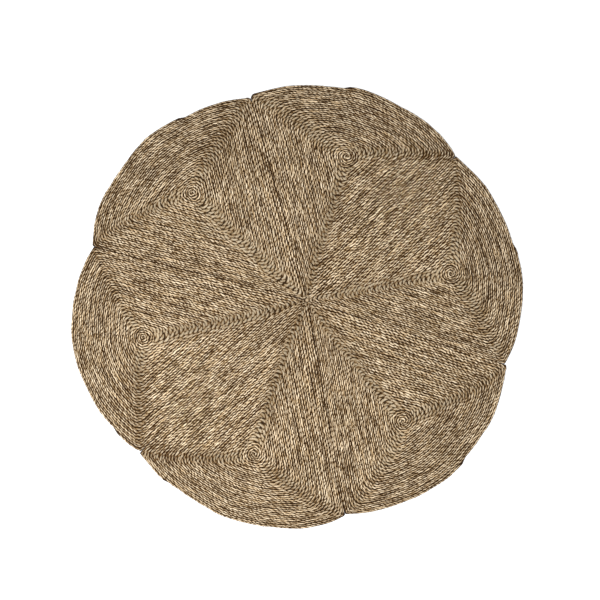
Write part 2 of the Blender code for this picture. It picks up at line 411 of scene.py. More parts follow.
    def rim_corner(self, level: np.ndarray, at_start: bool) -> tuple[np.ndarray, np.ndarray]:
        """Return centres and radii of a corner between a seam side and the rim.

        Args:
            level: Levels of the turns.
            at_start: Whether the corner is the one where the petal starts.

        Returns:
            The corner's centre and radius at each level.
        """
        start, end, rim = self.reach(level)
        outermost = (self.plan.start_radius if at_start else self.plan.end_radius) * MM
        corner = START if at_start else END
        radius = self.corner_radius(level, corner, outermost)
        rim = rim - self.drop(level, at_start)
        normal = direction(self.start_normal if at_start else self.end_normal)
        line = self.eye @ normal + (start if at_start else end) - radius
        arc = self.rim_radius - self.to_rim + rim - radius
        height = line - self.centre @ normal
        along = left_of(normal) * (1.0 if at_start else -1.0)
        run = np.sqrt(arc * arc - height * height)
        place = self.centre + height[:, None] * normal + run[:, None] * along
        return place + self.bow(corner, level), radius

    def drop(self, level: np.ndarray, at_start: bool) -> np.ndarray:
        """Return how far the rim draws in at the notch where the petal starts or ends."""
        deepest = self.plan.start_drop if at_start else self.plan.end_drop
        return deepest * MM * (level / self.plan.turns) ** self.drop_power

    def rim_angles(self, level: np.ndarray) -> tuple[np.ndarray, np.ndarray]:
        """Return the directions from the rim's centre where the rim begins and ends.

        Args:
            level: Levels of the turns.

        Returns:
            The two angles at each level, in radians.
        """
        first = self.rim_corner(level, True)[0] - self.centre
        second = self.rim_corner(level, False)[0] - self.centre
        start = np.arctan2(first[:, 1], first[:, 0])
        end = np.arctan2(second[:, 1], second[:, 0])
        return start, np.where(end < start, end + FULL_TURN, end)

    def rim_points(self, level: np.ndarray, along: float) -> np.ndarray:
        """Return points on the rim, which waves a little toward the outline.

        Args:
            level: Levels of the turns.
            along: Share of the rim that has been passed.

        Returns:
            One point for each level.
        """
        plan = self.plan
        start, end = self.rim_angles(level)
        swell = math.sin(FULL_TURN * (plan.wave_count * along / 2.0 + plan.wave_shift))
        swell *= math.sin(math.pi * along) * plan.wave * MM
        arc = self.rim_radius - self.to_rim + self.reach(level)[2]
        drift = swell * (level / plan.turns) ** self.wave_power
        for at_start, passed in ((True, along), (False, 1.0 - along)):
            centre, radius = self.rim_corner(level, at_start)
            drop = self.drop(level, at_start)
            shares = (self.ease_share, self.notch_share)
            ease, notch = (max(1.0 - passed / share, 0.0) ** 2 for share in shares)
            beyond = np.linalg.norm(centre - self.centre, axis=1) + radius - arc
            drift = drift + (beyond + drop) * ease - drop * notch
        return self.centre + (arc + drift)[:, None] * direction(mix(start, end, along))

    def corner_points(self, stretch: Stretch, level: np.ndarray, along: float) -> np.ndarray:
        """Return points on one of the three rounded corners.

        Args:
            stretch: Which corner.
            level: Levels of the turns.
            along: Share of the corner that has been passed.

        Returns:
            One point for each level.
        """
        if stretch is HUB:
            centre, radius = self.hub_corner(level)
            angle = mix(self.end_normal, self.start_normal + FULL_TURN, along) + 0.0 * level
            return centre + radius[:, None] * direction(angle)
        start, end = self.rim_angles(level)
        if stretch is START:
            centre, radius = self.rim_corner(level, True)
            bend = (start - self.start_normal + math.pi) % FULL_TURN - math.pi
            return centre + radius[:, None] * direction(self.start_normal + bend * along)
        centre, radius = self.rim_corner(level, False)
        bend = (self.end_normal - end + math.pi) % FULL_TURN - math.pi
        return centre + radius[:, None] * direction(end + bend * along)

    def points(self, stretch: Stretch, level: np.ndarray, along: float) -> np.ndarray:
        """Return the outer edge of each level at one place on a turn.

        Args:
            stretch: Stretch of the turn.
            level: Levels of the turns.
            along: Share of that stretch that has been passed.

        Returns:
            One point for each level.
        """
        level = np.maximum(level, self.first_level)
        if stretch is Stretch.RIM:
            return self.rim_points(level, along)
        if stretch is Stretch.START_SIDE:
            ends = (HUB, START)
        elif stretch is Stretch.END_SIDE:
            ends = (END, HUB)
        else:
            return self.corner_points(stretch, level, along)
        first = self.corner_points(ends[0], level, 1.0)
        second = self.corner_points(ends[1], level, 0.0)
        return mix(first, second, along)


@dataclass(frozen=True)
class Station:
    """One place on a turn, and how much the coil has grown by then."""

    stretch: Stretch
    along: float
    growth: float


@dataclass
class RopeRows:
    """Places that a petal's rope passes, station by station.

    Attributes:
        middles: Middle of the row at each place.
        outers: Outer edge of the row at each place.
        levels: Level of each place.
        bends: Whether each place is the middle of a corner, 1 or 0.
        sewn: Whether each place lies along a seam or at the hub, 1 or 0.
        shades: How dark the painted shade of the mitre at each place is, from 0 to 1.
        seam_shades: How dark the painted shade beside the seam at each place is, from 0 to 1.
    """

    middles: np.ndarray
    outers: np.ndarray
    levels: np.ndarray
    bends: np.ndarray
    sewn: np.ndarray
    shades: np.ndarray
    seam_shades: np.ndarray


@dataclass
class RopeLine:
    """Middle line of one petal's rope, at even steps along the rope.

    Attributes:
        points: Places on the floor plan.
        width: Room that the row has at each point.
        fold: How near each point is to a folded corner, from 0 to 1.
        bend: Number of the point at the middle of the nearest corner.
        depth: How dark the painted shade beside the seam at each point is, from 0 to 1.
        shade: How dark the painted shade of the mitre beside each point is, from 0 to 1.
        outward: Side on which the next turn lies, 1 for left and -1 for right.
        step: Distance from point to point, in metres.
    """

    points: np.ndarray
    width: np.ndarray
    fold: np.ndarray
    bend: np.ndarray
    depth: np.ndarray
    shade: np.ndarray
    outward: float
    step: float


@dataclass
class SpiralPath:
    """Way of a petal's rope from the eye to its end on the rim.

    Attributes:
        corner_steps: Stations on each corner, an odd number.
        widest_row: Most room that a row can have.
        rim_width: Width of the row on the rim, as a share of its room.
        fold_widths: Row widths, over the usual one, at which a fold begins and is full.
        eye_fold: How far the first turn round the eye is folded, from 0 to 1.
        shade_reach: Distance from a mitre at which its painted shade ends.
    """

    coil: Coil
    side_steps: int = 14
    corner_steps: int = 9
    rim_steps: int = 36
    widest_row: float = 15.0 * MM
    rim_width: float = 0.94
    fold_widths: tuple[float, float] = (1.15, 1.60)
    eye_fold: float = 0.6
    shade_reach: float = 42.0 * MM
    smoothing_passes: int = 2

    def stations(self) -> list[Station]:
        """Return the stations of one turn in the order in which the rope passes them."""
        leftward = self.coil.plan.winding is Winding.LEFTWARD
        order = [
            (Stretch.START_SIDE, self.side_steps),
            (START, self.corner_steps),
            (Stretch.RIM, self.rim_steps),
            (END, self.corner_steps),
            (Stretch.END_SIDE, self.side_steps),
        ]
        if not leftward:
            order.reverse()
        order.append((HUB, self.corner_steps))
        grown = 0
        found = []
        for stretch, steps in order:
            for step in range(steps):
                share = (step + 0.5) / steps
                along = share if leftward else 1.0 - share
                extra = share if stretch in CORNERS else 0.0
                found.append(Station(stretch, along, (grown + extra) * CORNER_GROWTH))
            grown += 1 if stretch in CORNERS else 0
        return found

    def rows(self) -> RopeRows:
        """Return the places that the rope passes, in order."""
        turn = np.arange(self.coil.plan.turns + 1)
        stations = self.stations()
        found = []
        for station in stations:
            outer = self.coil.points(station.stretch, turn + station.growth, station.along)
            inner = np.vstack([self.coil.eye, outer[:-1]])
            bend = station.stretch in CORNERS and abs(station.along - 0.5) < 0.5 / self.corner_steps
            sewn = station.stretch in SEWN
            shade = self.coil.mitres[station.stretch].shade if bend else 0.0
            marks = [np.full(len(turn), float(mark)) for mark in (bend, sewn, shade)]
            level = turn + station.growth
            found.append(((outer + inner) / 2.0, outer, level, *marks, self.seam_shades(station.stretch, level)))
        last = self.end_index(stations)
        line = (np.stack(part, axis=1) for part in zip(*found))
        return RopeRows(*(part.reshape(-1, *part.shape[2:])[:last] for part in line))

    def seam_shades(self, stretch: Stretch, level: np.ndarray) -> np.ndarray:
        """Return how dark the painted shade beside the seam is, for the rows of one stretch.

        Args:
            stretch: Stretch of the turn.
            level: Levels of the rows.

        Returns:
            The painted shade beside each row. Only the outermost row lies at a seam.
        """
        seam = self.coil.plan.seam
        if stretch in (Stretch.START_SIDE, START):
            last, depth = self.coil.start_levels, SEAM_SHADES[seam]
        elif stretch in (Stretch.END_SIDE, END):
            last, depth = self.coil.end_levels, SEAM_SHADES[(seam + 1) % len(SEAMS)]
        else:
            return np.zeros(len(level))
        return np.where(level > last - 0.5, depth, 0.0)

    def end_index(self, stations: list[Station]) -> int:
        """Return the number of places that the rope passes before its end."""
        plan = self.coil.plan
        leftward = plan.winding is Winding.LEFTWARD
        passed = 0
        for station in stations:
            if station.stretch is Stretch.RIM:
                before = station.along < plan.rope_end if leftward else station.along > plan.rope_end
                if not before:
                    break
            passed += 1
        return plan.turns * len(stations) + passed

    def line(self, step: float) -> RopeLine:
        """Return the rope's middle line at even steps.

        Args:
            step: Distance wanted from point to point, in metres.

        Returns:
            The line, its row widths and its folds.
        """
        rows = self.rows()
        gaps = np.linalg.norm(np.diff(rows.middles, axis=0), axis=1)
        gone = np.concatenate([[0.0], np.cumsum(gaps)])
        count = int(round(gone[-1] / step)) + 1
        along = np.linspace(0.0, gone[-1], count)
        middles = np.stack([np.interp(along, gone, part) for part in rows.middles.T], axis=1)
        points = smoothed(middles, self.smoothing_passes)
        level = np.interp(along, gone, rows.levels)
        width = self.widths(rows, gone, along)
        turns = rows.bends > 0.5
        nearest = self.nearest(gone[turns], along)
        bend = np.rint(gone[turns][nearest] / along[1]).astype(int)
        return RopeLine(
            points=points,
            width=width,
            fold=self.folds(width, level),
            bend=bend,
            depth=np.interp(along, gone, rows.seam_shades),
            shade=rows.shades[turns][nearest] * self.nearness(points, bend, level),
            outward=-float(self.coil.plan.winding.value),
            step=gone[-1] / (count - 1),
        )

    def widths(self, rows: RopeRows, gone: np.ndarray, along: np.ndarray) -> np.ndarray:
        """Return the room that the row has at points of the line.

        Args:
            rows: Places that the rope passes.
            gone: Length of rope up to each place.
            along: Length of rope up to each point.

        Returns:
            The width at each point, in metres.
        """
        width = 2.0 * np.abs(cross(rows.outers - rows.middles, headings(rows.middles)))
        wide = np.minimum(np.interp(along, gone, width), self.widest_row)
        wide = np.maximum(wide, np.maximum(np.roll(wide, 1), np.roll(wide, -1)))
        return wide * mix(self.rim_width, 1.0, np.interp(along, gone, rows.sewn))

    def folds(self, width: np.ndarray, level: np.ndarray) -> np.ndarray:
        """Return how folded the rope is: where its row is wide, and round the eye.

        Args:
            width: Room that the row has at each point.
            level: Level of each point.

        Returns:
            The fold at each point, from 0 to 1.
        """
        wide = np.interp(width / np.median(width), self.fold_widths, (0.0, 1.0))
        eye = np.interp(level, (1.0, self.coil.round_turns), (self.eye_fold, 0.0))
        return np.maximum(smoothed(wide, self.smoothing_passes), eye)

    @staticmethod
    def nearest(folds: np.ndarray, along: np.ndarray) -> np.ndarray:
        """Return the number of the fold nearest to each point, both given along the rope."""
        after = np.clip(np.searchsorted(folds, along), 1, len(folds) - 1)
        return np.where(folds[after] - along < along - folds[after - 1], after, after - 1)

    def nearness(self, points: np.ndarray, bend: np.ndarray, level: np.ndarray) -> np.ndarray:
        """Return how near points of the rope are to the mitre beside them.

        Args:
            points: Points of the rope's middle line.
            bend: Number of the point at the middle of each one's nearest corner.
            level: Level of each point.

        Returns:
            1 on the mitre and 0 out of its reach, fading out toward the round eye.
        """
        here, there = points - self.coil.eye, points[bend] - self.coil.eye
        aside = np.abs(cross(here, there)) / np.maximum(np.linalg.norm(there, axis=1), MM)
        folded = np.interp(level, (self.coil.round_turns, self.coil.folded_turns), (0.0, 1.0))
        return np.clip(1.0 - aside / self.shade_reach, 0.0, 1.0) * folded


@dataclass(frozen=True)
class Ripple:
    """One slow sideways wave in the way the rows were laid."""

    heading: float
    length: float
    sway: float
    shift: float


@dataclass
class HandLay:
    """Unevenness of hand-laid rows, the same for neighbours so that they keep together.

    Attributes:
        ripples: The sideways waves.
        surge: Size of each wave's push along its own way, over its sway.
        surge_rate: Rate of that push over the sway's.
    """

    ripples: tuple[Ripple, ...] = (
        Ripple(20.0, 0.310, 0.9 * MM, 0.10),
        Ripple(75.0, 0.230, 0.8 * MM, 0.55),
        Ripple(130.0, 0.170, 0.6 * MM, 0.30),
        Ripple(165.0, 0.120, 0.45 * MM, 0.80),
        Ripple(48.0, 0.085, 0.3 * MM, 0.05),
    )
    surge: float = 0.5
    surge_rate: float = 0.7

    def sway(self, points: np.ndarray) -> np.ndarray:
        """Move points by the ripples.

        Args:
            points: Places on the floor plan.

        Returns:
            The moved places.
        """
        moved = points.copy()
        for ripple in self.ripples:
            way = direction(math.radians(ripple.heading))
            phase = FULL_TURN * (points @ way / ripple.length + ripple.shift)
            moved += (ripple.sway * np.sin(phase))[:, None] * left_of(way)
            moved += (ripple.sway * self.surge * np.cos(phase * self.surge_rate))[:, None] * way
        return moved


@dataclass
class RopeSurface:
    """Surface of a wound rope, as rings of points.

    Attributes:
        rings: Cross-sections by ring points by three.
        crown: Height of each point on its row, from 0 at half height to 1 on top.
        across: Place of each point across its row, from -1 to 1.
    """

    rings: np.ndarray
    crown: np.ndarray
    across: np.ndarray

    def closed(self, values: np.ndarray) -> np.ndarray:
        """Return values with each ring's first point repeated at its end."""
        return np.concatenate([values, values[:, :1]], axis=1)


@dataclass
class Rope:
    """Two-ply seagrass rope, wound on a line.

    Attributes:
        lay: Length in which the plies go once round each other.
        steps_per_lay: Cross-sections in one lay.
        height: Thickness of the rope as it lies.
        crowding: Width of the rope over the room that its row has.
        girth: Radius round the cross-section, as shares of half the width. It is
            fullest at the middle of each ply and lowest in the two valleys.
        lay_sway: Spread of the twist, in radians.
        girth_sway: Spread of the thickness, as a share.
        girth_limits: Least and greatest thickness, as shares.
        wander: Spread of the sideways shift.
        knot_spacing: Distance between the places at which these three are drawn.
        end_share: Thickness at the rope's two ends, as a share.
        end_lays: Lays over which the thickness at an end would grow by the whole.
        fold_flattening: How much flatter a full fold is, as a share.
        fold_valley: Radius in the valleys at a full fold.
        fold_lift: How far the sides of the row rise at a full fold, over half its height.
        fold_hold: How far the plies are turned alike at every fold, from 0 to 1.
        seam_middle: How far a seam's shade reaches the middle of its row, from 0 to 1.
    """

    lay: float = 34.0 * MM
    steps_per_lay: int = 7
    height: float = 6.6 * MM
    crowding: float = 1.12
    girth: tuple[float, ...] = (1.0, 0.89, 0.58, 0.89, 1.0, 0.89, 0.58, 0.89)
    lay_sway: float = 0.9
    girth_sway: float = 0.10
    girth_limits: tuple[float, float] = (0.80, 1.16)
    wander: float = 0.65 * MM
    knot_spacing: float = 28.0 * MM
    end_share: float = 0.35
    end_lays: float = 0.6
    fold_flattening: float = 0.22
    fold_valley: float = 0.34
    fold_lift: float = 0.26
    fold_hold: float = 0.35
    seam_middle: float = 0.3

    @property
    def step(self) -> float:
        """Distance between cross-sections, in metres."""
        return self.lay / self.steps_per_lay

    def unevenness(self, count: int, step: float, seed: int) -> tuple[np.ndarray, ...]:
        """Return slow changes of twist, thickness and place along the rope.

        Args:
            count: Number of cross-sections.
            step: Distance between them, in metres.
            seed: Seed that differs from petal to petal.

        Returns:
            The twist in radians, the thickness as a share and the sideways
            shift in metres, at each one.
        """
        random = np.random.default_rng(seed)
        along = np.arange(count) * step
        knots = np.arange(0.0, along[-1] + self.lay, self.knot_spacing)
        twist, girth, shift = (
            np.interp(along, knots, random.normal(0.0, spread, len(knots)))
            for spread in (self.lay_sway, self.girth_sway, self.wander)
        )
        return twist, np.clip(1.0 + girth, *self.girth_limits), shift

    def wind(self, line: RopeLine, seed: int) -> RopeSurface:
        """Return the rope's surface, a ring of points for each cross-section.

        Args:
            line: Middle line of the rope.
            seed: Seed of the rope's unevenness.

        Returns:
            The surface.
        """
        count = len(line.points)
        along = np.arange(count) * line.step
        twist, girth, shift = self.unevenness(count, line.step, seed)
        twist += FULL_TURN * along / self.lay
        to_end = np.minimum(along, along[-1] - along)
        girth *= np.minimum(1.0, self.end_share + to_end / (self.lay * self.end_lays))
        astray = (twist[line.bend] + FULL_TURN / 4.0) % (FULL_TURN / 2.0) - FULL_TURN / 4.0
        ring = np.arange(len(self.girth)) * FULL_TURN / len(self.girth)
        angle = ring[None, :] + (twist - astray * line.fold * self.fold_hold)[:, None]
        half_width = (line.width * self.crowding * girth / 2.0)[:, None]
        half_height = (self.height * girth * (1.0 - self.fold_flattening * line.fold) / 2.0)[:, None]
        valley = np.array(self.girth) == min(self.girth)
        radius = mix(np.array(self.girth)[None, :], self.fold_valley, line.fold[:, None] * valley)
        lateral = half_width * radius * np.cos(angle) + shift[:, None]
        lift = self.fold_lift * line.fold[:, None] * np.cos(angle) ** 2
        rise = np.maximum(half_height * (radius * np.sin(angle) + lift) + self.height / 2.0, 0.0)
        aside = left_of(headings(line.points))
        flat = line.points[:, None, :] + lateral[:, :, None] * aside[:, None, :]
        rings = np.concatenate([flat, rise[:, :, None]], axis=2)
        return RopeSurface(rings, self.crown(line, rise, angle), np.cos(angle))

    def crown(self, line: RopeLine, rise: np.ndarray, angle: np.ndarray) -> np.ndarray:
        """Return how high points lie on their row, lowered beside a seam for its painted shade.

        Args:
            line: Middle line of the rope.
            rise: Height of each point over the floor.
            angle: Angle of each point round the rope.

        Returns:
            0 at half the rope's height and 1 on top.
        """
        middle = self.height / 2.0
        peak = mix(middle, rise.max(axis=1) - middle, line.fold)
        beside = np.clip(self.seam_middle + line.outward * np.cos(angle), 0.0, 1.0)
        # Lowering the crown beside a seam darkens the painted shade of the grooves there.
        return (rise - middle) / peak[:, None] - line.depth[:, None] * beside


Colour = tuple[float, float, float]
Span = tuple[float, float]
Socket = bpy.types.NodeSocket
Inputs = dict[str | int, Socket | float | tuple[float, ...]]


@dataclass
class NodeMaterial:
    """A node material in the making, with short ways to add nodes.

    Attributes:
        name: Name of the material.
    """

    name: str

    def __post_init__(self) -> None:
        """Start the material."""
        self.material = bpy.data.materials.new(self.name)
        self.material.use_nodes = True
        self.tree = self.material.node_tree

    def fill(self, node: bpy.types.Node, inputs: Inputs) -> None:
        """Link or set inputs of a node.

        Args:
            node: The node.
            inputs: Socket or constant for each input, by its name or number.
        """
        for key, value in inputs.items():
            if isinstance(value, Socket):
                self.tree.links.new(value, node.inputs[key])
            else:
                node.inputs[key].default_value = value

    def add(self, kind: str, inputs: Inputs) -> bpy.types.Node:
        """Add a node.

        Args:
            kind: Type of the node.
            inputs: Socket or constant for each input, by its name or number.

        Returns:
            The node.
        """
        node = self.tree.nodes.new(kind)
        self.fill(node, inputs)
        return node

    def surface(self, inputs: Inputs) -> bpy.types.Material:
        """Link or set the inputs of the surface and return the material."""
        self.fill(self.tree.nodes["Principled BSDF"], inputs)
        return self.material

    def attribute(self, name: str) -> Socket:
        """Return a value that the mesh carries.

        Args:
            name: Name of the attribute.

        Returns:
            The value's socket.
        """
        node = self.tree.nodes.new("ShaderNodeAttribute")
        node.attribute_name = name
        return node.outputs["Fac"]

    def noise(self, place: Socket, scale: float, detail: float) -> Socket:
        """Return noise at given coordinates, with octaves of finer detail."""
        inputs = {"Vector": place, "Scale": scale, "Detail": detail}
        return self.add("ShaderNodeTexNoise", inputs).outputs["Fac"]

    def math(self, operation: str, first: Socket, second: Socket | float) -> Socket:
        """Return the result of a Math node.

        Args:
            operation: Name of the operation.
            first: Socket of the first value.
            second: Socket or number of the second value.

        Returns:
            The result's socket.
        """
        node = self.add("ShaderNodeMath", {0: first, 1: second})
        node.operation = operation
        return node.outputs["Value"]

    def sum_of(self, parts: list[tuple[Socket, float]], offset: float) -> Socket:
        """Return a weighted sum of values.

        Args:
            parts: Pairs of a value's socket and its weight.
            offset: Number added to the sum.

        Returns:
            The sum's socket.
        """
        total = offset
        for value, weight in parts:
            total = self.math("ADD", self.math("MULTIPLY", value, weight), total)
        return total

    def map_range(self, value: Socket, span: Span, onto: Span, curve: str = "SMOOTHSTEP") -> Socket:
        """Return a value moved from one range onto another.

        Args:
            value: Socket of the value.
            span: Start and end of the old range.
            onto: Start and end of the new range.
            curve: Name of the curve between them.

        Returns:
            The new value's socket.
        """
        node = self.tree.nodes.new("ShaderNodeMapRange")
        node.interpolation_type = curve
        names = ("From Min", "From Max", "To Min", "To Max")
        self.fill(node, {"Value": value, **dict(zip(names, (*span, *onto)))})
        return node.outputs["Result"]

    def mixed(self, share: Socket, colour: Socket | Colour, other: Colour) -> Socket:
        """Return a colour mixed with a fixed one.

        Args:
            share: Socket of the fixed colour's share.
            colour: Socket of the first colour, or another fixed colour.
            other: The fixed colour.

        Returns:
            The mixed colour's socket.
        """
        node = self.tree.nodes.new("ShaderNodeMix")
        node.data_type = "RGBA"
        first = colour if isinstance(colour, Socket) else (*colour, 1.0)
        self.fill(node, {0: share, 6: first, 7: (*other, 1.0)})
        return node.outputs[2]


@dataclass(frozen=True)
class Grain:
    """Streaks of one size on the rope.

    Attributes:
        along: Scale of the noise along the rope, to the metre.
        across: Scale of the noise across the rope.
        detail: Octaves of finer noise.
        weight: Weight of the streaks in the rope's tone.
    """

    along: float
    across: float
    detail: float
    weight: float


@dataclass(frozen=True)
class Tint:
    """A colour that shows in patches of the rug.

    Attributes:
        colour: The colour.
        scale: Scale of the patches.
        span: Noise at which a patch begins and is full.
    """

    colour: Colour
    scale: float
    span: Span


@dataclass(frozen=True)
class Groove:
    """One painted shade in the grooves between the rows.

    Attributes:
        colour: The shade.
        span: Heights on the row at which it is full and at which it ends.
        least: How much of it is left at a full fold.
    """

    colour: Colour
    span: Span
    least: float


@dataclass(frozen=True)
class SeagrassFinish:
    """Dry twisted seagrass: straw, brown and olive streaks, with painted shade between the rows, beside the
    mitres and the seams, and painted sheen and shade at the folds.

    Attributes:
        tones: Places and colours of the dark, middle and pale streaks on the ramp.
        tone_shift: Number added to the tone.
        grains: Fine streaks, leaves and whole strands.
        fold_sheen_shade: Grey colour of the rope at folds: painted sheen and shade.
        painted_mitre_shade: Dark colour beside the mitres: painted shade.
        grooves: Painted shade between the rows, the outer one first.
        groove_stray: How far the fine streaks widen and narrow the painted shade in the grooves.
    """

    name: str
    tones: tuple[tuple[float, Colour], ...] = (
        (0.30, (0.160, 0.095, 0.035)),
        (0.52, (0.495, 0.351, 0.192)),
        (0.78, (0.760, 0.630, 0.450)),
    )
    tone_shift: float = -0.014
    grains: tuple[Grain, ...] = (
        Grain(along=70.0, across=2.1, detail=3.0, weight=0.60),
        Grain(along=36.0, across=0.45, detail=2.0, weight=0.60),
        Grain(along=7.0, across=0.2, detail=1.0, weight=0.12),
    )
    tints: tuple[Tint, ...] = (
        Tint((0.215, 0.190, 0.095), 7.0, (0.52, 0.75)),
        Tint((0.400, 0.270, 0.190), 11.0, (0.55, 0.78)),
    )
    tint_detail: float = 3.0
    tint_share: float = 0.14
    # Painted sheen and shade: grey mixed into the rope at the folds.
    fold_sheen_shade: Colour = (0.200, 0.165, 0.108)
    fold_sheen_span: Span = (0.2, 1.0)
    fold_sheen_share: float = 0.50
    # Painted shade beside the mitres.
    painted_mitre_shade: Colour = (0.075, 0.052, 0.029)
    # Painted shade between the rows, darker the lower a point lies on its row.
    grooves: tuple[Groove, ...] = (
        Groove((0.118, 0.052, 0.005), (0.36, 0.94), 0.85),
        Groove((0.022, 0.008, 0.001), (0.25, 0.70), 0.72),
    )
    groove_stray: float = 1.35
    roughness: float = 0.62
    gloss: float = 0.05
    bump_strength: float = 0.8
    bump_depth: float = 0.35 * MM

    def build(self) -> bpy.types.Material:
        """Return the finish as a node material."""
        made = NodeMaterial(self.name)
        noises = self.noises(made)
        weights = [grain.weight for grain in self.grains]
        tone = made.sum_of(list(zip(noises, weights)), self.tone_shift)
        ramp = made.add("ShaderNodeValToRGB", {"Fac": tone})
        stops = ramp.color_ramp.elements
        stops.new(self.tones[1][0])
        for stop, (place, colour) in zip(stops, self.tones):
            stop.position = place
            stop.color = (*colour, 1.0)
        tinted = self.tinted(made, ramp.outputs["Color"])
        relief = {"Strength": self.bump_strength, "Distance": self.bump_depth, "Height": noises[0]}
        return made.surface({
            "Base Color": self.shaded(made, tinted, noises[0]),
            "Roughness": self.roughness,
            "Specular IOR Level": self.gloss,
            "Normal": made.add("ShaderNodeBump", relief).outputs["Normal"],
        })

    def noises(self, made: NodeMaterial) -> list[Socket]:
        """Return the noise of each grain, which runs along and round the rope.

        Args:
            made: The material.

        Returns:
            One socket for each grain.
        """
        uv = made.tree.nodes.new("ShaderNodeUVMap")
        uv.uv_map = "rope"
        along = made.add("ShaderNodeSeparateXYZ", {"Vector": uv.outputs["UV"]}).outputs["X"]
        across, crown = made.attribute("across"), made.attribute("crown")
        found = []
        for grain in self.grains:
            scaled = {
                axis: made.math("MULTIPLY", value, scale)
                for axis, value, scale in (
                    ("X", along, grain.along), ("Y", across, grain.across), ("Z", crown, grain.across),
                )
            }
            place = made.add("ShaderNodeCombineXYZ", scaled).outputs["Vector"]
            found.append(made.noise(place, 1.0, grain.detail))
        return found

    def tinted(self, made: NodeMaterial, colour: Socket) -> Socket:
        """Return a colour tinted in patches of the rug.

        Args:
            made: The material.
            colour: Colour socket to tint.

        Returns:
            The tinted colour's socket.
        """
        place = made.tree.nodes.new("ShaderNodeTexCoord").outputs["Object"]
        for tint in self.tints:
            patch = made.noise(place, tint.scale, self.tint_detail)
            share = made.map_range(patch, tint.span, (0.0, self.tint_share))
            colour = made.mixed(share, colour, tint.colour)
        return colour

    def shaded(self, made: NodeMaterial, colour: Socket, streaks: Socket) -> Socket:
        """Return a colour with painted shade and sheen at the folds, and painted shade beside the mitres and
        between the rows.

        Args:
            made: The material.
            colour: Colour socket to darken.
            streaks: Socket of the noise that widens and narrows the grooves.

        Returns:
            The darkened colour's socket.
        """
        fold = made.attribute("fold")
        # Painted sheen and shade at the folds.
        fold_sheen_shade = made.map_range(fold, self.fold_sheen_span, (0.0, self.fold_sheen_share))
        colour = made.mixed(fold_sheen_shade, colour, self.fold_sheen_shade)
        # Painted shade beside the mitres, as strong as the mesh's shade value.
        colour = made.mixed(made.attribute("shade"), colour, self.painted_mitre_shade)
        # Painted shade in the grooves, by height on the row, widened and narrowed by the streaks.
        parts = [(made.attribute("crown"), 1.0), (streaks, self.groove_stray)]
        crown = made.sum_of(parts, -self.groove_stray / 2.0)
        for groove in self.grooves:
            share = made.map_range(crown, groove.span, (1.0, 0.0))
            shallow = made.map_range(fold, (0.0, 1.0), (1.0, groove.least))
            colour = made.mixed(made.math("MULTIPLY", share, shallow), colour, groove.colour)
        return colour


@dataclass(frozen=True)
class ShadeSheetFinish:
    """Painted shade: a near-black sheet deep between the rows, tan within a radius of the hub."""

    hub: tuple[float, float, float]
    name: str = "Painted shade sheet"
    # Near-black colour of the sheet: painted shade deep between the rows.
    colour: Colour = (0.024, 0.011, 0.003)
    bare: Colour = (0.400, 0.290, 0.170)
    hub_radius: float = 4.0 * MM
    roughness: float = 0.9
    gloss: float = 0.1

    def build(self) -> bpy.types.Material:
        """Return the finish as a node material."""
        made = NodeMaterial(self.name)
        away = made.tree.nodes.new("ShaderNodeVectorMath")
        away.operation = "DISTANCE"
        place = made.tree.nodes.new("ShaderNodeTexCoord").outputs["Object"]
        made.fill(away, {0: place, 1: self.hub})
        span = (self.hub_radius, 2.0 * self.hub_radius)
        share = made.map_range(away.outputs["Value"], span, (0.0, 1.0), "LINEAR")
        return made.surface({
            "Base Color": made.mixed(share, self.bare, self.colour),
            "Roughness": self.roughness,
            "Specular IOR Level": self.gloss,
        })


@dataclass(frozen=True)
class FloorFinish:
    """Matt, almost white floor."""

    name: str = "Pale floor"
    white: float = 0.93
    roughness: float = 0.9
    gloss: float = 0.1

    def build(self) -> bpy.types.Material:
        """Return the finish as a node material."""
        return NodeMaterial(self.name).surface({
            "Base Color": (self.white, self.white, self.white, 1.0),
            "Roughness": self.roughness,
            "Specular IOR Level": self.gloss,
        })


def mesh_of(bm: bmesh.types.BMesh, name: str) -> bpy.types.Mesh:
    """Return a new mesh of what was modelled.

    Args:
        bm: The model, which is freed.
        name: Name of the mesh.

    Returns:
        The mesh.
    """
    mesh = bpy.data.meshes.new(name)
    bm.to_mesh(mesh)
    bm.free()
    return mesh


def placed(data: bpy.types.ID) -> bpy.types.Object:
    """Put a mesh, camera or light into the scene.

    Args:
        data: The mesh, camera or light.

    Returns:
        Its new object, named like it.
    """
    made = bpy.data.objects.new(data.name, data)
    bpy.context.scene.collection.objects.link(made)
    return made


def declare(piece: bpy.types.Object, node: str, area: float) -> None:
    """Put a piece under the rug's root and hide the solid that it lies in place of.

    Args:
        piece: The piece.
        node: Name of the solid.
        area: Area on the floor, in square metres; not used.
    """
    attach(piece, "root")
    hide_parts(node)


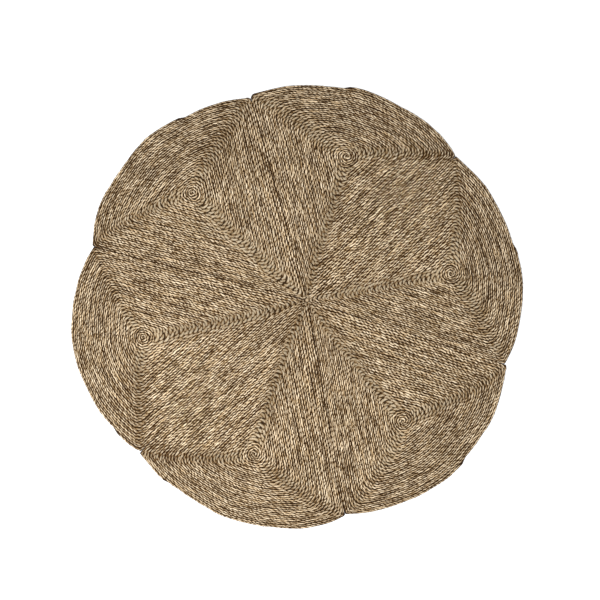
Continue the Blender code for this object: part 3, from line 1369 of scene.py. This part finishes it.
@dataclass
class RopePetal:
    """One petal of the rug: its coiled rope as a closed, twisted tube.

    Attributes:
        plan: The petal's plan.
        rope: The rope it is coiled from.
        lay: Unevenness of the rows.
        shift: Place of the hub on the floor plan.
        finish: Finish of the rope.
    """

    plan: PetalPlan
    rope: Rope
    lay: HandLay
    shift: np.ndarray
    finish: bpy.types.Material
    piece: bpy.types.Object | None = field(default=None, init=False)

    def build(self) -> None:
        """Make the petal's mesh and object."""
        line = SpiralPath(Coil(self.plan)).line(self.rope.step)
        line.points = self.lay.sway(line.points + self.shift)
        surface = self.rope.wind(line, self.plan.seam + 1)
        count, sides = surface.crown.shape
        bm = bmesh.new()
        bm.loops.layers.uv.new("rope")
        bmesh.ops.create_grid(bm, x_segments=sides, y_segments=count - 1, size=1.0, calc_uvs=True)
        mesh = mesh_of(bm, self.plan.node + "_rope")
        mesh.vertices.foreach_set("co", surface.closed(surface.rings).ravel())
        self.write_uv(mesh, line.step * (count - 1))
        fold, shade = (np.repeat(part[:, None], sides, axis=1) for part in (line.fold, line.shade))
        named = {"fold": fold, "shade": shade, "crown": surface.crown, "across": surface.across}
        for name, values in named.items():
            layer = mesh.attributes.new(name, "FLOAT", "POINT").data
            layer.foreach_set("value", surface.closed(values).ravel())
        self.close(mesh)
        self.piece = placed(mesh)

    @staticmethod
    def write_uv(mesh: bpy.types.Mesh, length: float) -> None:
        """Turn the grid's own map into metres along the rope and turns round it.

        Args:
            mesh: Mesh whose map is changed.
            length: Length of the rope, in metres.
        """
        layer = mesh.uv_layers["rope"].uv
        uv = np.zeros(len(layer) * 2, np.float32)
        layer.foreach_get("vector", uv)
        uv = uv.reshape(-1, 2)
        turned = np.stack([uv[:, 1] * length, uv[:, 0]], axis=1)
        layer.foreach_set("vector", turned.astype(np.float32).ravel())

    @staticmethod
    def close(mesh: bpy.types.Mesh) -> None:
        """Join the tube's long edges and close its two ends.

        Args:
            mesh: Mesh of the open tube.
        """
        bm = bmesh.new()
        bm.from_mesh(mesh)
        bmesh.ops.remove_doubles(bm, verts=list(bm.verts), dist=SAME_PLACE)
        rims = [edge for edge in bm.edges if len(edge.link_faces) == 1]
        bmesh.ops.holes_fill(bm, edges=rims, sides=0)
        bmesh.ops.recalc_face_normals(bm, faces=list(bm.faces))
        for face in bm.faces:
            face.smooth = True
        bm.to_mesh(mesh)
        bm.free()

    def dress(self) -> None:
        self.piece.data.materials.append(self.finish)
        declare(self.piece, self.plan.node, self.flat_area())

    def flat_area(self) -> float:
        """Return the petal's area on the floor, in square metres."""
        path = SpiralPath(Coil(self.plan))
        return area_of(path.rows().outers[-len(path.stations()):])


@dataclass
class PetalShadeSheet:
    """A near-black sheet of painted shade that closes the grooves between a petal's rows.

    Attributes:
        plan: The petal's plan.
        lay: Unevenness of the rows.
        shift: Place of the hub on the floor plan.
        finish: Finish of the sheet.
        low: Height of its underside.
        high: Height of its top.
        seam_gap: Gap that it leaves to the sheet of the next petal.
        corner_share: Radius of its two corners at the rim, as a share of the rope's.
        rim_share: How far it reaches from the middle of the rim's row to its edge.
    """

    plan: PetalPlan
    lay: HandLay
    shift: np.ndarray
    finish: bpy.types.Material
    low: float = 2.2 * MM
    high: float = 3.2 * MM
    seam_gap: float = 0.05 * MM
    corner_share: float = 0.5
    rim_share: float = 0.85
    piece: bpy.types.Object | None = field(default=None, init=False)

    def outline(self) -> np.ndarray:
        """Return the outline: the seams themselves, and just inside the rim."""
        start, end = (radius * self.corner_share for radius in (self.plan.start_radius, self.plan.end_radius))
        plan = replace(self.plan, start_radius=start, end_radius=end)
        path = SpiralPath(Coil(plan, seam_gap=self.seam_gap, hub_radius=self.seam_gap))
        rows = path.rows()
        places = mix(rows.middles, rows.outers, np.maximum(rows.sewn, self.rim_share)[:, None])
        return self.lay.sway(places[-len(path.stations()):] + self.shift)

    def build(self) -> None:
        """Make the sheet's mesh and object."""
        bm = bmesh.new()
        corners = [bm.verts.new((*place, self.low)) for place in self.outline()]
        bmesh.ops.contextual_create(bm, geom=corners)
        grown = bmesh.ops.extrude_face_region(bm, geom=list(bm.faces))["geom"]
        top = [part for part in grown if isinstance(part, bmesh.types.BMVert)]
        bmesh.ops.translate(bm, verts=top, vec=(0.0, 0.0, self.high - self.low))
        bmesh.ops.triangulate(bm, faces=list(bm.faces))
        bmesh.ops.recalc_face_normals(bm, faces=list(bm.faces))
        self.piece = placed(mesh_of(bm, self.plan.node + "_shade_sheet"))

    def dress(self) -> None:
        self.piece.data.materials.append(self.finish)
        outline = self.outline()
        declare(self.piece, self.plan.node, area_of(outline))


@dataclass
class Rug:
    """The whole rug: six rope petals round an off-centre hub."""

    rope: Rope = field(default_factory=Rope)
    lay: HandLay = field(default_factory=HandLay)

    def hub(self) -> np.ndarray:
        """Return the hub's place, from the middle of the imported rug's box."""
        outline = np.vstack([
            Coil(plan).points(station.stretch, np.array([plan.turns + 0.0]), station.along)
            for plan in PLANS
            for station in SpiralPath(Coil(plan)).stations()
        ])
        boxes = [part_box(plan.node) for plan in PLANS]
        low = np.min([box[0] for box in boxes], axis=0)[:2]
        high = np.max([box[1] for box in boxes], axis=0)[:2]
        return (low + high) / 2.0 - (outline.min(axis=0) + outline.max(axis=0)) / 2.0

    def make(self) -> None:
        """Build and dress the six petals and their sheets of painted shade."""
        shift = self.hub()
        shade_sheet_finish = ShadeSheetFinish(hub=(float(shift[0]), float(shift[1]), 0.0)).build()
        for plan in PLANS:
            finish = SeagrassFinish("Seagrass " + plan.node.replace("_", " ")).build()
            petal = RopePetal(plan, self.rope, self.lay, shift, finish)
            shade_sheet = PetalShadeSheet(plan, self.lay, shift, shade_sheet_finish)
            for part in (petal, shade_sheet):
                part.build()
                part.dress()
                LOG.info("%s: %d faces", part.piece.name, len(part.piece.data.polygons))


@dataclass
class Studio:
    """Pale floor, soft light and the camera straight above the rug.

    The lens and sensor are in millimetres and the power in watts.
    """

    floor_size: float = 14.0
    floor_thickness: float = 0.02
    image_width: float = 2.0
    aim: tuple[float, float] = (0.0132, 0.0235)
    lens: float = 100.0
    sensor: float = 36.0
    sky_strength: float = 1.0
    key_power: float = 33.0
    key_place: tuple[float, float, float] = (-0.45, -0.45, 1.6)
    key_size: float = 1.0

    def floor(self) -> None:
        """Make the floor that the rug lies on."""
        bm = bmesh.new()
        bmesh.ops.create_cube(bm, size=1.0)
        size = (self.floor_size, self.floor_size, self.floor_thickness)
        bmesh.ops.scale(bm, verts=list(bm.verts), vec=size)
        bmesh.ops.translate(bm, verts=list(bm.verts), vec=(0.0, 0.0, -self.floor_thickness / 2.0))
        floor = placed(mesh_of(bm, "floor"))
        floor.data.materials.append(FloorFinish().build())

    def light(self) -> None:
        """Light the room softly, with a key light that hangs above, toward one corner."""
        world = bpy.data.worlds.new("Studio")
        world.use_nodes = True
        sky = world.node_tree.nodes["Background"]
        sky.inputs["Color"].default_value = (1.0, 1.0, 1.0, 1.0)
        sky.inputs["Strength"].default_value = self.sky_strength
        bpy.context.scene.world = world
        lamp = bpy.data.lights.new("key", "AREA")
        lamp.size = self.key_size
        lamp.energy = self.key_power
        key = placed(lamp)
        key.location = self.key_place
        key.rotation_euler = (-Vector(self.key_place)).to_track_quat("-Z", "Y").to_euler()
        key.visible_camera = False
        bpy.context.scene.view_settings.view_transform = "Standard"

    def camera(self) -> None:
        """Hang the camera straight above the place that the image is centred on."""
        data = bpy.data.cameras.new("above")
        data.lens = self.lens
        data.sensor_width = self.sensor
        camera = placed(data)
        camera.location = (*self.aim, self.image_width * self.lens / self.sensor)
        bpy.context.scene.camera = camera

    def make(self) -> None:
        """Set the whole studio up."""
        self.camera()
        self.floor()
        self.light()


def main() -> None:
    logging.basicConfig(level=logging.INFO)
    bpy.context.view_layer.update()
    Studio().make()
    Rug().make()


if __name__ == "__main__":
    main()
